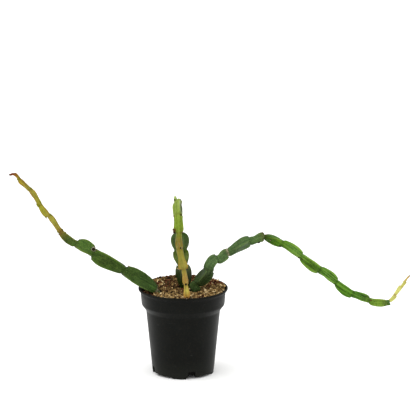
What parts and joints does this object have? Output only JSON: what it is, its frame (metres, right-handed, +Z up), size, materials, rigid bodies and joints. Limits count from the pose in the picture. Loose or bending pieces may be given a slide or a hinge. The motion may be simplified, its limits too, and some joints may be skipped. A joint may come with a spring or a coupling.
{
  "type": "potted chain cactus",
  "caption": "Chain cactus with winged, zigzag stems arching to both sides and over the front of a round tapered nursery pot filled with bark compost.",
  "frame": {"origin": "middle of the cross of ribs under the pot, on the surface that the pot stands on", "axes": "+Z up, +X to the right along the long arching stem, -Y to the front"},
  "size_m": [0.4006, 0.0956, 0.2074],
  "materials": {
    "pot_plastic": "thin black nursery pot plastic, satin with a fine moulded grain",
    "bark_compost": "dry, rough bark and fibre chips, tan to dark brown",
    "old_growth": "firm green plant skin, softly glossy, with paler wing edges",
    "new_growth": "thin yellow-green plant skin, softly glossy, browner at the wing edges"
  },
  "bodies": {
    "root": {"pot": "pot_plastic", "soil": "bark_compost", "left_stem": "old_growth", "left_shoot": "new_growth", "centre_stem": "old_growth", "centre_shoot": "new_growth", "right_stem": "old_growth", "right_branch": "old_growth", "right_shoot": "new_growth"}
  },
  "joints": []
}
